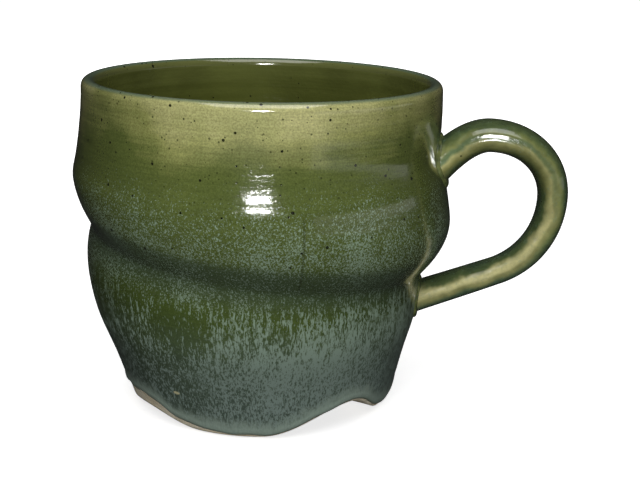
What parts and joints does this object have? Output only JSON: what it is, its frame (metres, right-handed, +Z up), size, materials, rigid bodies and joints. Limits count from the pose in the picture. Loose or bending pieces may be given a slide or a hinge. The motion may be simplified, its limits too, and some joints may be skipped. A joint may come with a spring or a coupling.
{
  "type": "ceramic mug",
  "caption": "Hand-thrown stoneware mug with a spiral groove pressed round its body, a carved foot, a pulled loop handle and a speckled green runny glaze.",
  "frame": {"origin": "centre of the flat underside of the foot, on the axis of the thrown body", "axes": "+Z up along the axis of the body, +X towards the handle, +Y to the left of the handle"},
  "size_m": [0.1258, 0.0966, 0.0824],
  "materials": {
    "bare_clay": "bare cream stoneware, fine dry grain",
    "handle_clay": "bare cream stoneware under the glaze",
    "outer_glaze": "glossy olive glaze running into mottled blue-grey green, with dark iron specks",
    "liner_glaze": "glossy dark olive glaze with throwing rings",
    "lip_glaze": "glossy pale yellow-green where the glaze breaks thin, with specks",
    "handle_glaze": "glossy olive glaze, pale on the ridges and blue-green in the hollows",
    "joint_glaze": "glossy dark olive glaze pooled round the joint"
  },
  "bodies": {
    "root": {"thrown_body": "bare_clay", "outer_glaze": "outer_glaze", "liner_glaze": "liner_glaze", "lip_glaze": "lip_glaze", "handle": "handle_clay", "handle_glaze": "handle_glaze", "upper_joint": "joint_glaze", "lower_joint": "joint_glaze"}
  },
  "joints": []
}
